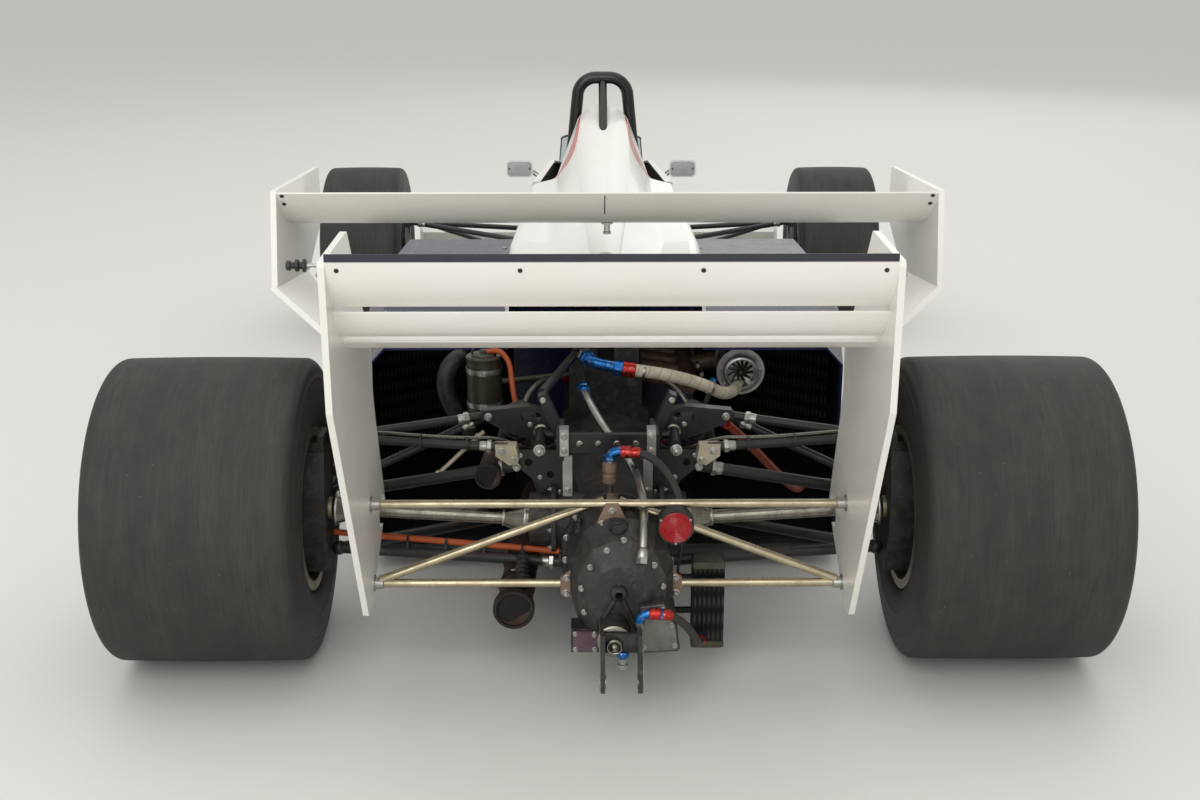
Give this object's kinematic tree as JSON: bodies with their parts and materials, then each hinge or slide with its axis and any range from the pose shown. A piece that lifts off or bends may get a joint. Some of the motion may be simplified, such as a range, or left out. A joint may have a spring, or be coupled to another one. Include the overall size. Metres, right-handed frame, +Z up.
{
  "type": "open wheel racing car",
  "caption": "Single seat open wheel racing car with slick tyres, side pods, a white engine cover, a front wing and two rear wings.",
  "frame": {"origin": "on the ground under the middle of the car's length and width", "axes": "+X to the car's left, +Y to its rear, +Z up"},
  "size_m": [2.112, 4.3597, 1.124],
  "materials": {
    "white_paint": "gloss white racing enamel",
    "navy_paint": "gloss dark blue enamel",
    "satin_black": "satin black stove enamel",
    "slick_rubber": "worn slick rubber",
    "alloy": "cast alloy, gold lacquer",
    "bare_alloy": "machined aluminium",
    "magnesium": "dark cast magnesium",
    "nickel": "nickel plated tube",
    "screen_glass": "clear tinted screen",
    "red_lens": "red ribbed lens",
    "seat_cloth": "black cloth over foam",
    "exhaust_steel": "heat stained steel",
    "hose_braid": "braided hose",
    "carbon_floor": "dark composite sheet"
  },
  "bodies": {
    "chassis": {"monocoque": "navy_paint", "cockpit_cowl": "white_paint", "nose_cone": "white_paint", "front_wing": "white_paint", "front_wing_plates": "white_paint", "windscreen": "screen_glass", "seat": "seat_cloth", "steering_wheel": "satin_black", "mirrors": "white_paint", "roll_hoop": "satin_black", "engine_cover": "white_paint", "sidepods": "navy_paint", "coolers": "bare_alloy", "floor_pan": "carbon_floor", "engine": "magnesium", "turbocharger": "bare_alloy", "exhaust_pipes": "exhaust_steel", "catch_tank": "bare_alloy", "hoses": "hose_braid", "gearbox": "magnesium", "rear_wing_plane": "white_paint", "gurney_strip": "satin_black", "rear_wing_plates": "white_paint", "forward_wing_plane": "white_paint", "forward_wing_plates": "white_paint", "wing_frame": "nickel", "rain_light": "red_lens", "rear_uprights": "magnesium", "rear_wishbones": "satin_black", "rear_rockers": "satin_black", "rear_dampers": "satin_black", "front_wishbones": "satin_black"},
    "rear_wheel_left": {"rear_rim_left": "alloy", "rear_tyre_left": "slick_rubber"},
    "rear_wheel_right": {"rear_rim_right": "alloy", "rear_tyre_right": "slick_rubber"},
    "front_wheel_left": {"front_rim_left": "alloy", "front_tyre_left": "slick_rubber"},
    "front_wheel_right": {"front_rim_right": "alloy", "front_tyre_right": "slick_rubber"},
    "front_upright_left": {"front_upright_left": "magnesium"},
    "front_upright_right": {"front_upright_right": "magnesium"},
    "steering_rack": {"steering_rack": "bare_alloy"},
    "driveshaft_left": {"driveshaft_left": "satin_black"},
    "driveshaft_right": {"driveshaft_right": "satin_black"}
  },
  "joints": [
    {"name": "rear_wheel_left_spin", "type": "hinge", "parent": "chassis", "child": "rear_wheel_left", "pos_m": [0.84, 1.62, 0.328], "axis": [1, 0, 0], "continuous": true},
    {"name": "rear_wheel_right_spin", "type": "hinge", "parent": "chassis", "child": "rear_wheel_right", "pos_m": [-0.84, 1.62, 0.328], "axis": [1, 0, 0], "continuous": true},
    {"name": "driveshaft_left_spin", "type": "hinge", "parent": "chassis", "child": "driveshaft_left", "pos_m": [0.172, 1.62, 0.302], "axis": [0.9981, 0, 0.0615], "continuous": true},
    {"name": "driveshaft_right_spin", "type": "hinge", "parent": "chassis", "child": "driveshaft_right", "pos_m": [-0.172, 1.62, 0.302], "axis": [0.9981, 0, -0.0615], "continuous": true},
    {"name": "steer_left", "type": "hinge", "parent": "chassis", "child": "front_upright_left", "pos_m": [0.744, -1.18, 0.18], "axis": [-0.0604, 0, 0.9982], "range_deg": [-16, 16]},
    {"name": "steer_right", "type": "hinge", "parent": "chassis", "child": "front_upright_right", "pos_m": [-0.744, -1.18, 0.18], "axis": [0.0604, 0, 0.9982], "range_deg": [-16, 16]},
    {"name": "rack_slide", "type": "slide", "parent": "chassis", "child": "steering_rack", "axis": [1, 0, 0], "range_m": [-0.0305, 0.0305]},
    {"name": "front_wheel_left_spin", "type": "hinge", "parent": "front_upright_left", "child": "front_wheel_left", "pos_m": [0.9, -1.18, 0.303], "axis": [1, 0, 0], "continuous": true},
    {"name": "front_wheel_right_spin", "type": "hinge", "parent": "front_upright_right", "child": "front_wheel_right", "pos_m": [-0.9, -1.18, 0.303], "axis": [1, 0, 0], "continuous": true}
  ],
  "couplings": [
    {"joint": "driveshaft_left_spin", "follows": "rear_wheel_left_spin", "ratio": 1},
    {"joint": "driveshaft_right_spin", "follows": "rear_wheel_right_spin", "ratio": 1},
    {"joint": "steer_right", "follows": "steer_left", "ratio": 1},
    {"joint": "rack_slide", "follows": "steer_left", "m_per_rad": -0.10858}
  ]
}
